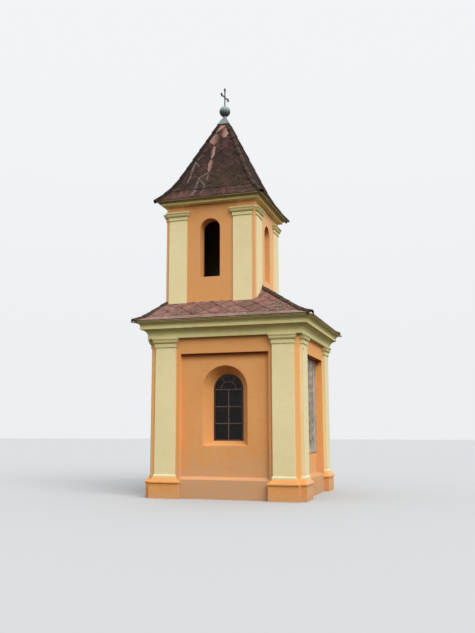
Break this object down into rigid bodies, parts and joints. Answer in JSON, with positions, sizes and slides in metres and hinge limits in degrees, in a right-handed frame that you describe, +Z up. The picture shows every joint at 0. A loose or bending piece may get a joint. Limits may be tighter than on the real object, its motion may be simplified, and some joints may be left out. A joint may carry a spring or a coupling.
{
  "type": "chapel",
  "caption": "Small rendered roadside chapel with corner pilasters, round-headed windows, a tiled skirt roof and a square bell tower under a bell-cast roof with a ball and cross.",
  "frame": {"origin": "middle of the chapel's body in plan, at ground level", "axes": "+Z up, +X from the entrance front with the tower towards the rear wall with the niche, +Y towards the left-hand side seen from the entrance looking in; the tower's cross is the highest point"},
  "size_m": [4.4119, 4.2908, 10.755],
  "materials": {
    "orange_plaster": "matte painted lime plaster, weathered",
    "yellow_plaster": "matte painted lime plaster, weathered",
    "plinth_plaster": "matte painted render, splashed and stained near the ground",
    "cornice_plaster": "matte painted moulded plaster, weathered",
    "concrete": "rough cast concrete",
    "skirt_roof_tile": "matte fired clay, stained",
    "tower_roof_tile": "matte fired clay, dark with age",
    "hip_tile": "matte fired clay with lichen",
    "zinc_sheet": "dull weathered sheet metal",
    "ball_metal": "dull weathered sheet metal",
    "cross_iron": "dark painted wrought iron",
    "window_steel": "dark painted steel",
    "window_glass": "clear window glass, dusty",
    "door_wood": "stained and weathered boards",
    "picture_plate": "matte painted plate"
  },
  "bodies": {
    "root": {"floor_slab": "concrete", "doorstep": "concrete", "ceiling_slab": "concrete", "right_wall": "orange_plaster", "left_wall": "orange_plaster", "rear_wall": "orange_plaster", "front_wall_right": "orange_plaster", "front_wall_left": "orange_plaster", "front_wall_over_door": "orange_plaster", "side_pedestals": "plinth_plaster", "end_pedestals": "plinth_plaster", "side_pilasters": "yellow_plaster", "end_pilasters": "yellow_plaster", "side_capitals": "cornice_plaster", "end_capitals": "cornice_plaster", "main_cornice": "cornice_plaster", "tower_right_wall": "orange_plaster", "tower_left_wall": "orange_plaster", "tower_front_wall": "orange_plaster", "tower_rear_wall": "orange_plaster", "tower_side_pilasters": "yellow_plaster", "tower_end_pilasters": "yellow_plaster", "tower_side_capitals": "cornice_plaster", "tower_end_capitals": "cornice_plaster", "tower_cornice": "cornice_plaster", "skirt_roof_right": "skirt_roof_tile", "skirt_roof_left": "skirt_roof_tile", "skirt_roof_rear": "skirt_roof_tile", "skirt_roof_front": "skirt_roof_tile", "skirt_hip_tiles": "hip_tile", "tower_roof": "tower_roof_tile", "tower_hip_tiles": "hip_tile", "spire_cap": "zinc_sheet", "ball": "ball_metal", "cross": "cross_iron", "right_window_frame": "window_steel", "left_window_frame": "window_steel", "right_window_glass": "window_glass", "left_window_glass": "window_glass", "door_frame": "door_wood", "door_leaf_right": "door_wood", "door_leaf_left": "door_wood", "door_head": "door_wood", "niche_plate": "picture_plate"}
  },
  "joints": []
}
